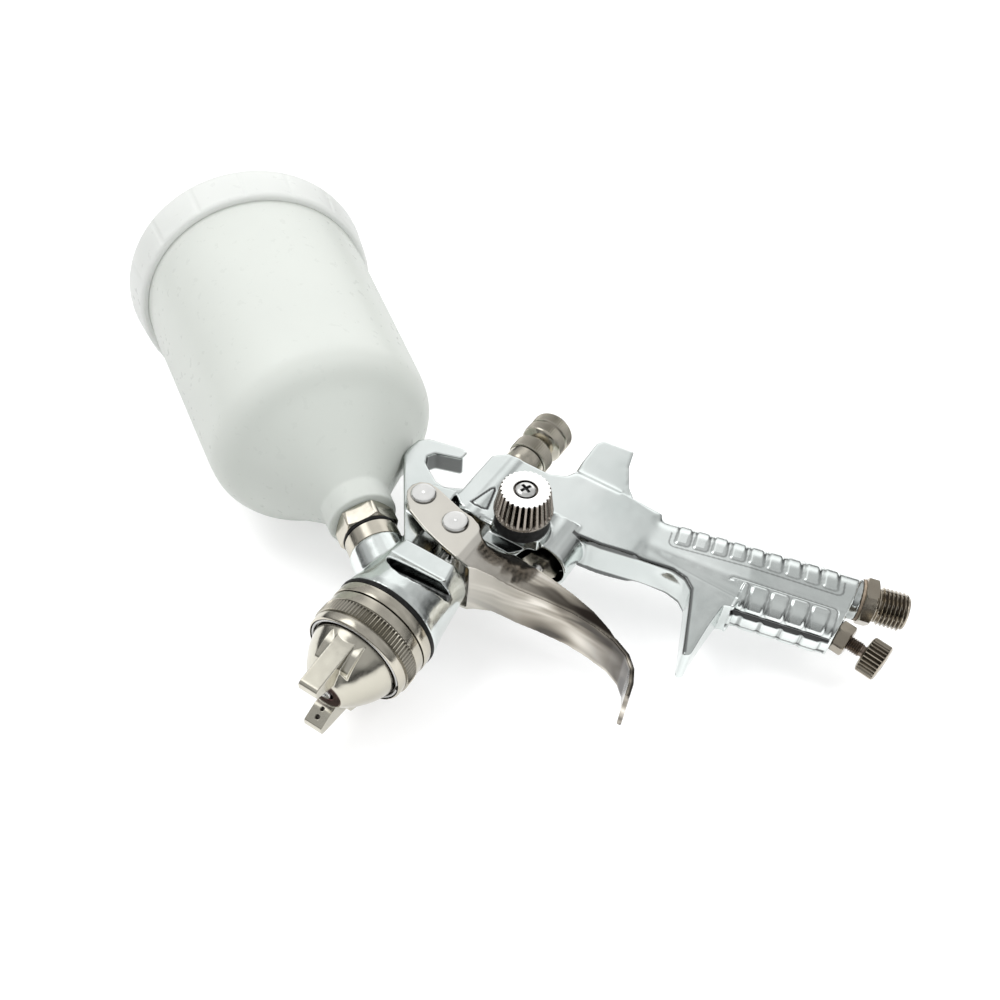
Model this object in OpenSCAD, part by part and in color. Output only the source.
// Gravity-feed HVLP spray gun, millimetres.
// Origin: on the spray axis at the front face of the air cap.
// +X is the spray direction, +Z is up towards the cup, +Y is the gun's left side.

/* [Spray head] */
// Outer radius of the knurled retaining ring
ring_r = 18; // [17.5:0.1:18.5]
// Number of ridges round the retaining ring
ring_ridges = 60; // [36:4:72]
// How far the two horns reach past the cap's face
horn_reach = 7; // [5:0.5:9]
// Radius of the fluid nozzle's orifice
orifice_r = 0.85; // [0.6:0.05:0.9]

/* [Cup] */
// Lean of the cup's axis, backwards from upright
cup_lean = 33.9; // [30:0.1:35]
// Outer radius of the cup at its shoulder
cup_r_low = 42.3; // [40:0.1:44]
// Outer radius of the cup under its lid
cup_r_top = 46; // [45:0.1:47]
// Height of the cup's shoulder along its axis, from the spray axis
cup_shoulder = 80; // [78:0.5:84]
// Height of the cup's open top along its axis
cup_top = 184; // [174:1:190]
// Wall thickness of the cup
cup_wall = 1.8; // [1.4:0.1:2.4]

/* [Trigger] */
// Radius of the trigger's pivot pin
pivot_r = 3; // [2.5:0.1:3.2]
// Thickness of the trigger's sheet
trig_t = 1.5; // [1.2:0.1:1.6]

/* [Knobs] */
// Large radius of the fluted fan-pattern knob
fan_knob_r = 10; // [9:0.1:10.5]
// Number of flutes round the fan-pattern knob
fan_flutes = 30; // [20:2:36]
// Radius of the fluid-control knob
fluid_knob_r = 8.2; // [7.6:0.1:9]
// Radius of the air-flow knob
air_knob_r = 6.2; // [5.5:0.1:7]

/* [Air inlet] */
// Radius of the inlet's external thread (G 1/4)
inlet_r = 6.58; // [6.5:0.01:6.66]
// Length of the inlet's thread and its neck
inlet_len = 10.8; // [10:0.1:13]
// Across flats of the inlet's hexagon
inlet_af = 15; // [14:0.5:17]

/* [Hidden] */
$fn = 64;

// Gap between fitted parts
fit = 0.02;

// Cross axes and points in the middle plane, as [x, z]
pivot = [-74.1, 15.4];
yoke = [-69.8, -0.5];
fan = [-82.5, -18.8];
valve_z = -29;
cup_x = -39.96;

// Inlet: end of its thread, direction, and upper face of its hexagon
inlet_end = [-132.5, -141.1];
inlet_dir = [-0.225, -0.9744];
inlet_hex_h = 4.2;
inlet_face = inlet_end - (inlet_len + inlet_hex_h) * inlet_dir;

// Air-flow adjuster: seat of its gland, and direction
adjuster_seat = [-110.9, -123.9];
adjuster_dir = [0.164, -0.9865];

// Radii shared by a part and the hole it fits
nozzle_r = 6.1;
needle_r = 1.5;
fluid_bush_r = 6;
fan_bush_r = 4.4;
fan_stem_r = 2.7;
fan_screw_r = 1.6;
valve_gland_r = 5.5;
valve_stem_r = 2;
inlet_shank_r = 6;
air_gland_r = 3.8;
air_stem_r = 2.48;
yoke_pin_r = 2.6;
connector_r = 6.2;
cup_spigot_r = 8.6;
vent_r = 5;
pivot_bore_r = pivot_r + 0.05;

chrome = [0.78, 0.80, 0.81];
nickel = [0.66, 0.63, 0.56];
steel = [0.70, 0.70, 0.68];
black = [0.05, 0.05, 0.05];
milk = [0.90, 0.92, 0.90, 0.75];
brass = [0.72, 0.58, 0.30];

// Local frames -------------------------------------------------
// Puts local +Z on the gun's +X axis
module along_x(x = 0, y = 0, z = 0) translate([x, y, z]) rotate([0, 90, 0]) children();

// Puts local +Z on the gun's +Y axis, through [x, z], starting at y
module along_y(axis, y = 0) translate([axis[0], y, axis[1]]) rotate([-90, 0, 0]) children();

// Puts local +Z on the cup's axis, starting on the spray axis
module along_cup() translate([cup_x, 0, 0]) rotate([0, -cup_lean, 0]) children();

// Puts local +Z along a direction in the middle plane, from [x, z]
module along(start, dir)
  translate([start[0], 0, start[1]]) rotate([0, atan2(dir[0], dir[1]), 0]) children();

// Shared shapes ------------------------------------------------
// Cylinder along local +Z, starting at z
module rod(r, h, z = 0, fn = 64) translate([0, 0, z]) cylinder(r = r, h = h, $fn = fn);

// Side outline (x, z) extruded from one y to another
module side(outline, from, to)
  translate([0, to, 0]) rotate([90, 0, 0]) linear_extrude(to - from) polygon(outline);

// Side outline extruded equally to both sides of the middle plane
module slab(outline, half_width) side(outline, -half_width, half_width);

// Turned part from (radius, height) points
module turned(points, fn = 64) rotate_extrude($fn = fn) polygon(points);

module tube(r, bore_r, h, fn = 64) difference() {
  rod(r, h, fn = fn);
  rod(bore_r, h + 2, z = -1, fn = fn);
}

module hexprism(flats, h) cylinder(r = flats / 2 / cos(30), h = h, $fn = 6);

// Hexagon with turned chamfers at both ends
module chamfered_hex(flats, h, end_r, rim_r, chamfer) intersection() {
  hexprism(flats, h);
  turned([[0, 0], [end_r, 0], [rim_r, chamfer], [rim_r, h - chamfer], [end_r, h], [0, h]]);
}

// Straight ridges round a cylinder, sunk 0.3 into it
module ridges(count, r, length, depth, width)
  for (i = [0:count - 1])
    rotate([0, 0, i * 360 / count])
      translate([r - 0.3, -width / 2, 0]) cube([depth + 0.3, width, length]);

// Bores along X, each [start x, radius, length]
module x_bores(bores, z = 0)
  for (bore = bores) along_x(bore[0], 0, z) rod(bore[1], bore[2]);

// Slightly domed head of a cross pin
module pin_head(r, top_r)
  rod_end() turned([[0, 0], [r, 0], [r, 0.5], [top_r, 0.95], [0, 1.05]]);

// Place of a pin's head, just outside the trigger's arm
module rod_end() translate([0, 0, 12.95]) children();

// A coil along +Z: a six-sided wire swept round a helix
module coil(r, wire_r, pitch, turns) {
  steps = 14; // per turn
  last = ceil(turns * steps);
  points = [for (i = [0:last]) for (k = [0:5])
    let (a = i * 360 / steps, b = k * 60, reach = r + wire_r * cos(b))
    [reach * cos(a), reach * sin(a), pitch * i / steps + wire_r * sin(b)]];
  skin = [for (i = [0:last - 1]) for (k = [0:5])
    let (here = i * 6, ahead = here + 6, next = (k + 1) % 6)
    each [[here + k, ahead + k, here + next], [here + next, ahead + k, ahead + next]]];
  start_cap = [0, 1, 2, 3, 4, 5];
  end_cap = [for (k = [5:-1:0]) last * 6 + k];
  polyhedron(points = points, faces = concat(skin, [start_cap], [end_cap]));
}

// Gun body -------------------------------------------------------
// Spray head from above (x, y), narrowed at the back where the trigger's arms pass
head_plan = [[-31.5, -19], [-31.5, 19], [-37, 19], [-43.5, 13.8], [-49, 11], [-57, 10.9],
  [-57, -10.9], [-49, -11], [-43.5, -13.8], [-37, -19]];

// Side outlines (x, z)
hook_plate = [[-50, 6], [-57, 11.4], [-92.3, 36.9], [-96, 37.3], [-101.6, 36.9], [-104.6, 33.4],
  [-107.6, 20.6], [-106.6, 18.2], [-102.8, 18.4], [-99.6, 27.8], [-96.6, 29.4], [-93.2, 27.6],
  [-88, 19.6], [-87.6, 15.6], [-91.8, 8], [-100, 6], [-100, 3], [-84, 1], [-80, 8.3],
  [-58, 8.3], [-54, 2]];
bridge = [[-50, 6], [-57, 11.4], [-70, 20.6], [-80, 23], [-84, 17], [-86, 9], [-80, 8.3],
  [-58, 8.3], [-54, 2]];
front_web = [[-72.6, -9], [-79.8, -6.8], [-79.8, 4], [-84, 8.2], [-106, 8.2], [-108, -40],
  [-92.6, -40], [-92.4, -34.5], [-88, -30], [-80, -26], [-72.6, -20]];
rear_web = [[-81.5, 5], [-84, 8.2], [-107.6, 8.4], [-111.9, 4], [-111.9, -13.6],
  [-114.7, -18.6], [-119, -20], [-119, -56], [-96.2, -56], [-93.4, -44], [-92.4, -34.5],
  [-84, -30], [-81.5, -26]];
rear_rest = [[-110, -19.6], [-136.8, -19.4], [-139.6, -21], [-141, -33], [-133, -35],
  [-124, -39.6], [-118.8, -44.6], [-118.6, -52], [-108, -52]];
strap_and_spur = [[-92.4, -34.8], [-93.4, -44], [-96.6, -57.6], [-98.6, -68.7],
  [-97.6, -73.9], [-94.8, -77.1], [-88.8, -79.3], [-75.6, -83.8], [-70.6, -85.4],
  [-69.8, -86.6], [-71.2, -88], [-84.7, -88.2], [-95, -89], [-96, -92], [-112, -92],
  [-112, -40]];
grip_limits = [[-80, -40], [-150, -40], [-150, -122.5], [-121.7, -123.9], [-90, -123.9]];
head_pocket = [[-45, 9.5], [-42.6, 7.6], [-40.4, 4.2], [-39.4, 0], [-39.8, -4], [-41.4, -9],
  [-43.9, -13.4], [-47.2, -16.2], [-46.9, -8], [-46.4, 0], [-45.8, 6]];

module head_block() intersection() {
  along_x(-56) turned([[0, 0], [14.4, 0], [15.6, 8], [16.9, 17], [17.9, 21.5],
    [18.2, 24.3], [0, 24.3]], 96);
  translate([0, 0, -20]) linear_extrude(40) polygon(head_plan);
}

// Boss of the fan-pattern control, trimmed to its place on the left side
module fan_boss() intersection() {
  along_y(fan) cylinder(r1 = 10.4, r2 = 9.8, h = 13.4);
  translate([-100, -1, -40]) cube([22.4, 20, 40]);
}

// Thin slice across the grip: a slot shape, round at front and back
module grip_slice(start, depth, width)
  along(start, inlet_dir) linear_extrude(1) {
    for (s = [-1, 1]) translate([s * (depth - width) / 2, 0]) circle(d = width);
    square([depth - width, width], center = true);
  }

module grip() intersection() {
  hull() {
    grip_slice([-107.3, -50], 21, 15);
    grip_slice([-111.6, -91], 29.6, 20.6);
    grip_slice([-120.6, -130], 30.2, 20.6);
  }
  slab(grip_limits, 20);
}

module body_solid() {
  head_block();
  // Neck for the cup
  along_cup() cylinder(r1 = 11.2, r2 = 10, h = 23.6);
  // Top plate, with the hanging hook in one piece
  slab(hook_plate, 4.4);
  slab(bridge, 8);
  // Pivot boss
  along_y(pivot, -10.9) rod(6, 21.8);
  // Rear barrel round the needle
  along_x(-111.9) rod(8.4, 32.1);
  slab(front_web, 7.2);
  slab(rear_web, 8);
  fan_boss();
  // Boss of the air valve
  along_x(-96, 0, valve_z) rod(9.8, 15.8);
  slab(rear_rest, 6.6);
  // Front strap and finger spur
  slab(strap_and_spur, 7);
  grip();
  // Inlet boss
  along(inlet_face - 26 * inlet_dir, inlet_dir) rod(7.4, 25);
  // Seat of the air-flow gland
  along(adjuster_seat - 8 * adjuster_dir, adjuster_dir) rod(6.6, 8);
}

// Front to back: nozzle socket, fluid chamber, packing, needle, guide bush
module needle_bores() x_bores([
  [-37, nozzle_r + fit, 20],
  [-46.9, 3.5, 12],
  [-59, 3.6, 12.1],
  [-101, 4.6, 23],
  [-113, fluid_bush_r + fit, 12.1]]);

module fan_bores() along_y(fan) {
  rod(2.9, 20, z = 1.5);
  rod(fan_bush_r + fit, 20, z = 6.9);
}

module valve_bores() x_bores([
  [-86.4, 8.6, 14],
  [-95, valve_gland_r + fit, 12],
  [-116.4, 4.9, 22]], valve_z);

// Air way up the grip, and the inlet's thread
module inlet_bores() {
  along([-109.2, -36], inlet_dir) rod(3.2, 96);
  along(inlet_face - 12 * inlet_dir, inlet_dir) rod(inlet_shank_r + fit, 14);
}

module adjuster_bores() {
  along(adjuster_seat, adjuster_dir) rod(6.1, 6);
  along(adjuster_seat - 16 * adjuster_dir, adjuster_dir) rod(2.6, 20);
  along(adjuster_seat - 8 * adjuster_dir, adjuster_dir) rod(air_gland_r + fit, 12);
}

module gun_body() color(chrome) difference() {
  union() body_solid();
  needle_bores();
  // Ring-shaped channel in the head
  along_x(-40) difference() {
    rod(14.2, 9);
    rod(9.4, 12, z = -1);
  }
  // Fluid way down from the cup, and the connector's socket
  along_cup() rod(3.4, 12);
  along_cup() rod(connector_r + fit, 13, z = 11.9);
  // Open slot that the trigger's yoke works in
  translate([-79.8, -12, -9]) cube([23.8, 24, 17]);
  fan_bores();
  valve_bores();
  inlet_bores();
  adjuster_bores();
  // Trigger pin
  along_y(pivot, -14) rod(pivot_bore_r, 28);
  // Eye-shaped pockets in the head's sides
  for (s = [-1, 1]) scale([1, s, 1]) side(head_pocket, 6.9, 20);
}

// Spray head -----------------------------------------------------
module head_gasket() color(black) along_x(-31.68) tube(18.4, 14.4, 1.5);

module air_baffle() color(nickel) difference() {
  union() {
    along_x(-30.14) rod(18.25, 3.7);
    along_x(-26.5) rod(16.84, 8.1);
  }
  // Recesses in the two faces, and the nozzle's hole in the web between
  x_bores([[-31, 14, 7], [-21, 14, 7], [-25, nozzle_r + 2 * fit, 6]]);
  for (i = [0:7]) rotate([i * 45, 0, 0]) along_x(-25, 10.2, 0) rod(1.6, 6, fn = 24);
}

module fluid_nozzle() color(steel) along_x() turned([
  [nozzle_r, -36.9], [nozzle_r, -20.9], [8, -20.9], [8, -17.6], [6, -17], [4.2, -11],
  [2.9, -7], [2.2, -3], [2.2, 0.5], [orifice_r, 0.5], [orifice_r, -1.5], [2.45, -7],
  [2.6, -9], [2.6, -36.9]]);

// Horn outlines: x forwards, y outwards
horn_blade = [[-13.6, 9], [-13.6, 14.4], [-10, 14.2], [horn_reach - 1, 12.4],
  [horn_reach, 11.6], [horn_reach, 9], [1.6, 6.6], [-2, 6.2], [-9, 9]];
horn_foot = [[-13.8, 9], [-13.8, 13.9], [-9.5, 13.3], [-3.6, 10.4], [-3.6, 6.8], [-9, 9]];

module horn() {
  translate([0, 0, -3.4]) linear_extrude(6.8) polygon(horn_blade);
  translate([0, 0, -6.4]) linear_extrude(12.8) polygon(horn_foot);
}

// Jets in each horn: [x, y, radius, length]
horn_jets = [[4.2, 8.2, 0.75, 4], [1.6, 7.2, 0.6, 3.6]];

module air_cap() color(nickel) difference() {
  union() {
    along_x() turned([[14, -18.1], [16.5, -18.1], [16.5, -16.3], [15.3, -16.3],
      [15.3, -13.6], [13.4, -8.6], [10, -3.4], [6.8, -0.3], [6.2, 0], [3, 0], [3, -1.6],
      [4, -1.8], [13.4, -14.4]]);
    for (turn = [0, 180]) rotate([turn, 0, 0]) horn();
  }
  for (turn = [0, 180]) rotate([turn, 0, 0])
    for (jet = horn_jets)
      translate([jet[0], jet[1], 0]) rotate([0, 0, 35]) rotate([-90, 0, 0])
        rod(jet[2], jet[3], z = -2, fn = 20);
  // Balance holes in the face, above and below the nozzle
  for (turn = [90, 270]) rotate([turn, 0, 0]) along_x(-3, 4.4, 0) rod(0.5, 4, fn = 16);
}

module retaining_ring() color(nickel) difference() {
  union() {
    along_x() turned([[ring_r - 0.3, -26.3], [ring_r, -25.9], [ring_r, -19],
      [ring_r - 0.35, -18.6], [ring_r - 0.35, -15.2], [ring_r - 0.9, -14.1],
      [17.05, -14.1], [17.05, -15.2], [15.4, -15.2], [15.4, -16.1], [16.9, -16.1],
      [16.9, -26.3]], 96);
    along_x(-25.8) ridges(ring_ridges, ring_r, 6.6, 0.35, 0.9);
  }
  // Small slot in the plain front band
  rotate([-32, 0, 0]) translate([-18.6, 17.2, -0.45]) cube([3.6, 2, 0.9]);
}

module ring_clip() color(steel) along_x(-14.62)
  rotate_extrude(angle = 350, $fn = 96) translate([16.25, 0]) circle(r = 0.5, $fn = 16);

// Fluid side ------------------------------------------------------
locknut_r = 7.9;
fluid_thread_bore_r = 4.95;

module fluid_needle() color(steel) along_x() turned([[0, 1.2], [0.35, 1.2], [0.78, -1.5],
  [needle_r, -4.2], [needle_r, -121.4], [1.1, -122], [0, -122]], 48);

module needle_packing() color([0.9, 0.9, 0.88])
  along_x(-52.4) tube(3.48, needle_r + 0.03, 5.4, 48);

module packing_nut() color(brass) difference() {
  union() {
    along_x(-57) rod(3.57, 4.5, fn = 48);
    along_x(-59.1) hexprism(8.6, 3.05);
  }
  along_x(-62) rod(1.9, 12, fn = 48);
}

module needle_collar() color(brass) along_x(-79.9) tube(4, needle_r, 5.6, 48);

module needle_spring() color(steel) along_x(-116) coil(3.3, 0.42, 3.2, 11);

module fluid_bush() color(nickel) along_x(-119) difference() {
  union() {
    rod(7.3, 7.05);
    rod(fluid_bush_r, 17.9);
  }
  rod(fluid_thread_bore_r, 22, z = -1);
}

module fluid_locknut() color(nickel) along_x(-125.2) difference() {
  union() {
    turned([[0, 0], [7.4, 0], [locknut_r, 0.5], [locknut_r, 5.4], [7.4, 6], [0, 6]]);
    translate([0, 0, 0.6]) ridges(40, locknut_r, 4.7, 0.25, 0.7);
  }
  rod(fluid_thread_bore_r, 9, z = -1);
}

module fluid_knob() color(nickel) along_x() difference() {
  union() {
    turned([[0, -140.4], [6.6, -140.4], [fluid_knob_r - 0.4, -139.6], [fluid_knob_r, -139.2],
      [fluid_knob_r, -134.9], [fluid_knob_r - 0.5, -134.6], [fluid_knob_r - 0.5, -134.2],
      [fluid_knob_r, -133.9], [fluid_knob_r, -129.6], [fluid_knob_r - 0.7, -128.8],
      [4.89, -127.8], [4.89, -104], [0, -104]]);
    for (z = [-139, -133.7]) translate([0, 0, z]) ridges(44, fluid_knob_r, 3.9, 0.25, 0.66);
  }
  // Spring's bore and needle's bore, both open to the front
  rod(3.95, 23, z = -119.6);
  rod(1.7, 30, z = -126);
}

// Fan-pattern control ---------------------------------------------
module fan_bush() color(nickel) along_y(fan) translate([0, 0, 6.92]) difference() {
  rod(fan_bush_r, 11.6);
  rod(2.75, 16, z = -1);
}

module fan_seal() color(black) along_y(fan) translate([0, 0, 13.42]) difference() {
  cylinder(r1 = 9.5, r2 = 9.1, h = 5.2);
  rod(fan_bush_r + 0.03, 8, z = -1);
}

module fan_stem() color(steel) along_y(fan)
  turned([[0, 2.4], [1, 2.4], [fan_stem_r, 6], [fan_stem_r, 22.8], [0, 22.8]], 48);

module fan_knob() color(nickel) along_y(fan) difference() {
  turned([[0, 18.9], [fan_knob_r - 0.6, 18.9], [fan_knob_r, 19.4], [fan_knob_r - 0.3, 21],
    [8.3, 28.6], [7.7, 29.5], [0, 29.5]], 96);
  for (i = [0:fan_flutes - 1])
    rotate([0, 0, i * 360 / fan_flutes])
      translate([fan_knob_r + 0.15, 0, 19.8]) rotate([0, -12, 0]) rod(0.75, 8.6, fn = 14);
  // Stem's socket, screw's hole and the recess for its head
  rod(fan_stem_r + fit, 4.9, z = 18);
  rod(fan_screw_r + fit, 9, z = 22);
  rod(4, 2, z = 28.6);
}

module fan_screw() color(steel) along_y(fan) difference() {
  union() {
    rod(3.7, 1.1, z = 28.62);
    rod(fan_screw_r, 6, z = 23, fn = 32);
  }
  // Cross slot
  for (a = [0, 90]) rotate([0, 0, a]) translate([-1.9, -0.35, 28.9]) cube([3.8, 0.7, 2]);
}

// Air valve ---------------------------------------------------------
module valve_gland() color(nickel) along_x(-94.9, 0, valve_z) difference() {
  union() {
    rod(valve_gland_r, 8.6);
    translate([0, 0, 8.52]) hexprism(11.6, 8.2);
  }
  rod(valve_stem_r + 0.05, 20, z = -1, fn = 48);
}

module valve_stem() color(steel) along_x(0, 0, valve_z) turned([[0, -62.3], [1.5, -62.5],
  [valve_stem_r, -63.2], [valve_stem_r, -98.6], [3.6, -98.6], [3.6, -99.8], [1.2, -99.8],
  [1.2, -101], [0, -101]], 48);

module valve_seal() color(black)
  along_x(-98.58, 0, valve_z) tube(4.6, valve_stem_r + 0.01, 1.6, 48);

module valve_spring() color(steel) along_x(-106.7, 0, valve_z) coil(2.5, 0.35, 1.6, 4);

// Air inlet and air-flow adjuster -------------------------------------
module air_inlet() color(nickel) along(inlet_face, inlet_dir) difference() {
  union() {
    rod(inlet_shank_r, 11, z = -10);
    chamfered_hex(inlet_af, inlet_hex_h, inlet_af * 0.54, inlet_af * 0.578, 0.5);
    rod(inlet_r, inlet_len + 0.1, z = inlet_hex_h - 0.1);
  }
  rod(4, 40, z = -11);
}

module inlet_gasket() color([0.35, 0.30, 0.25])
  along(inlet_face - 0.98 * inlet_dir, inlet_dir) tube(7.3, inlet_shank_r + 0.04, 0.96);

module air_gland() color(nickel) along(adjuster_seat, adjuster_dir) difference() {
  union() {
    rod(air_gland_r, 8, z = -7);
    translate([0, 0, fit]) hexprism(9.6, 5);
  }
  rod(2.55, 16, z = -8, fn = 48);
}

module air_stem() color([0.42, 0.36, 0.32]) along(adjuster_seat, adjuster_dir)
  turned([[0, -12], [1, -12], [air_stem_r, -9], [air_stem_r, 12.6], [0, 12.6]], 48);

module air_knob() color(nickel) along(adjuster_seat, adjuster_dir) difference() {
  union() {
    turned([[0, 10.6], [air_knob_r - 0.8, 10.6], [air_knob_r, 11.2], [air_knob_r, 15.6],
      [air_knob_r - 0.5, 16], [air_knob_r, 16.4], [air_knob_r - 0.6, 17.4], [0, 17.4]]);
    translate([0, 0, 11.2]) ridges(28, air_knob_r, 4.3, 0.3, 0.7);
  }
  rod(air_stem_r + fit, 2.62, z = 10);
}

// Trigger --------------------------------------------------------------
// Side outline (x, z) of an arm and its flange, in one piece
arm = [[-69.8, 19.4], [-72.3, 21], [-75.4, 21.2], [-78.3, 19.5], [-79.6, 16.6],
  [-79.2, 12.6], [-77.2, 6], [-75.6, 0.5], [-75, -4], [-73.4, -7.6], [-70, -11],
  [-68.4, -14.4], [-69, -18.4], [-71.8, -22.9], [-71.6, -31.4], [-70.4, -39.9],
  [-69.1, -47.3], [-67, -55.4], [-63.8, -62.9], [-61.6, -66.4], [-60.4, -66], [-61.8, -58],
  [-62.3, -50], [-61.5, -40], [-60.3, -31], [-60, -22], [-58.4, -16], [-57.2, -13.6],
  [-57.6, -8.7], [-59.2, -1.7], [-61.6, 6], [-65.4, 15]];
// Front and back faces of the web (x, z), from the top down
web_front = [[-57.2, -14], [-58.4, -16], [-60, -22], [-60.3, -31], [-61.5, -40],
  [-62.3, -50], [-61.8, -58], [-60.4, -66], [-58, -71.2], [-54.6, -74.6], [-50, -76.6],
  [-45.4, -77.6]];
web_back = [[-58.8, -14], [-59.9, -16.4], [-61.6, -22.2], [-61.9, -31.1], [-63.1, -40.1],
  [-63.9, -50], [-63.4, -58.2], [-61.9, -66.5], [-59.2, -72.2], [-55.4, -75.9],
  [-50.5, -78.1], [-45.7, -79.1]];
// Half the trigger's width at each height: [y, z]
half_widths = [[12.9, 25], [12.9, -9], [12.5, -12], [9.6, -22.5], [9.1, -27], [9, -50],
  [8.9, -80]];

function reversed(list) = [for (i = [len(list) - 1:-1:0]) list[i]];

// Edge of the trigger seen from the front, on side s (1 left, -1 right)
function edge(s, inset = 0) = [for (p = half_widths) [s * (p[0] - inset), p[1]]];

// Cross-section (y, z) extruded along X
module front_view(outline)
  translate([-90, 0, 0]) rotate([90, 0, 90]) linear_extrude(60) polygon(outline);

module trigger() color([0.60, 0.57, 0.53]) difference() {
  union() {
    intersection() {
      slab(arm, 13);
      for (s = [-1, 1]) front_view(concat(edge(s), reversed(edge(s, trig_t))));
    }
    intersection() {
      slab(concat(web_front, reversed(web_back)), 13);
      front_view(concat(edge(1), reversed(edge(-1))));
    }
  }
  along_y(pivot, -14) rod(pivot_bore_r, 28);
  along_y(yoke, -14) rod(yoke_pin_r + fit, 28);
}

module trigger_pin() color(steel) along_y(pivot) {
  rod(pivot_r, 28, z = -14.6);
  pin_head(4.35, 3.9);
}

module pin_clip() color(steel) along_y(pivot, -13.9) tube(4.8, pivot_r + 0.01, 0.8, 48);

module needle_yoke() color(steel) difference() {
  union() {
    along_y(yoke, -11.3) rod(4.4, 22.6);
    along_y(yoke, -13.6) rod(yoke_pin_r, 27.2);
    for (s = [0, 1]) mirror([0, s, 0]) along_y(yoke) pin_head(4.5, 4);
  }
  // Slot that straddles the needle
  translate([yoke[0] - 6, -1.9, yoke[1] - 1.6]) cube([12, 3.8, 5.1]);
}

// Cup: heights are along its axis ----------------------------------------
flange_top = 30;
cup_gasket_h = 1.1;
nut_base = flange_top + cup_gasket_h + 2 * fit;
fluid_way_r = 4;

module cup_connector() color(nickel) along_cup() difference() {
  union() {
    rod(connector_r, 12, z = 12);
    translate([0, 0, 23.7]) turned([[0, 0], [9.6, 0], [9.6, 5.9], [9.2, 6.3], [0, 6.3]]);
    rod(5.6, 12, z = 29);
  }
  rod(fluid_way_r, 40, z = 11);
}

module cup_gasket() color(black) along_cup()
  translate([0, 0, flange_top + fit]) tube(9.7, 5.7, cup_gasket_h);

module cup_nut() color(nickel) along_cup() difference() {
  union() {
    translate([0, 0, nut_base]) chamfered_hex(19, 7.4, 10.2, 11, 0.6);
    rod(cup_spigot_r, 5.6, z = 38.4);
  }
  rod(5.66, 10.6, z = 31);
  rod(fluid_way_r, 4, z = 41);
}

// Outside from the mouth up to the rim, then the inside back down
module cup_body() color(milk) along_cup() turned([
  [cup_spigot_r + 0.04, 38.7], [12.4, 38.7], [12.6, 47.4], [18, 54.5],
  [33, cup_shoulder - 8], [38.6, cup_shoulder - 3.6], [41.2, cup_shoulder],
  [cup_r_low, cup_shoulder + 5], [cup_r_top, cup_top - 22], [cup_r_top, cup_top - 0.4],
  [cup_r_top - cup_wall, cup_top - 0.4], [cup_r_top - cup_wall, cup_top - 22],
  [cup_r_low - cup_wall, cup_shoulder + 5.4], [40 - cup_wall, cup_shoulder + 1.6],
  [37.6 - cup_wall, cup_shoulder - 2], [32.4 - cup_wall, cup_shoulder - 5.8],
  [17 - cup_wall, 56], [cup_spigot_r + 0.04, 48]], 96);

module cup_lid() color(milk) along_cup() difference() {
  turned([[0, cup_top + 0.6], [44.6, cup_top + 0.6], [cup_r_top + 0.1, cup_top + 0.6],
    [cup_r_top + 0.1, cup_top - 11.4], [48, cup_top - 11.8], [49, cup_top - 10.6],
    [50.8, cup_top + 3], [50.2, cup_top + 4.6], [46.4, cup_top + 4.8],
    [45.4, cup_top + 3.2], [0, cup_top + 3.2]], 96);
  rod(vent_r + fit, 8, z = cup_top, fn = 48);
}

module lid_gasket() color([0.85, 0.86, 0.84]) along_cup()
  translate([0, 0, cup_top - 0.36]) tube(45.9, 43.4, 0.9, 96);

module vent_plug() color(milk) along_cup() difference() {
  union() {
    rod(vent_r, 8, z = cup_top - 3, fn = 48);
    translate([0, 0, cup_top + 3.24])
      turned([[0, 0], [7.4, 0], [7.4, 1.6], [6, 2.6], [0, 2.6]], 48);
  }
  rod(1, 12, z = cup_top - 4, fn = 24);
}

module paint_filter() color([0.92, 0.92, 0.9]) along_cup() difference() {
  union() {
    rod(8.3, 1.6, z = 44.04);
    translate([0, 0, 45.5]) cylinder(r1 = 6.6, r2 = 4.4, h = 14);
  }
  rod(fluid_way_r, 4, z = 43);
  translate([0, 0, 45.6]) cylinder(r1 = 5.8, r2 = 3.6, h = 12.6);
  // Staggered rows of six holes
  for (row = [0:3]) for (i = [0:5])
    translate([0, 0, 48 + 2.6 * row]) rotate([0, 0, i * 60 + row * 30])
      rotate([0, 90, 0]) rod(0.7, 6, z = 2.5, fn = 16);
}

gun_body();
air_baffle();
head_gasket();
fluid_nozzle();
air_cap();
retaining_ring();
ring_clip();
fluid_needle();
needle_packing();
packing_nut();
needle_collar();
needle_spring();
fluid_bush();
fluid_locknut();
fluid_knob();
fan_bush();
fan_seal();
fan_stem();
fan_knob();
fan_screw();
valve_gland();
valve_stem();
valve_seal();
valve_spring();
air_inlet();
inlet_gasket();
air_gland();
air_stem();
air_knob();
trigger();
trigger_pin();
pin_clip();
needle_yoke();
cup_connector();
cup_gasket();
cup_nut();
cup_body();
cup_lid();
lid_gasket();
vent_plug();
paint_filter();
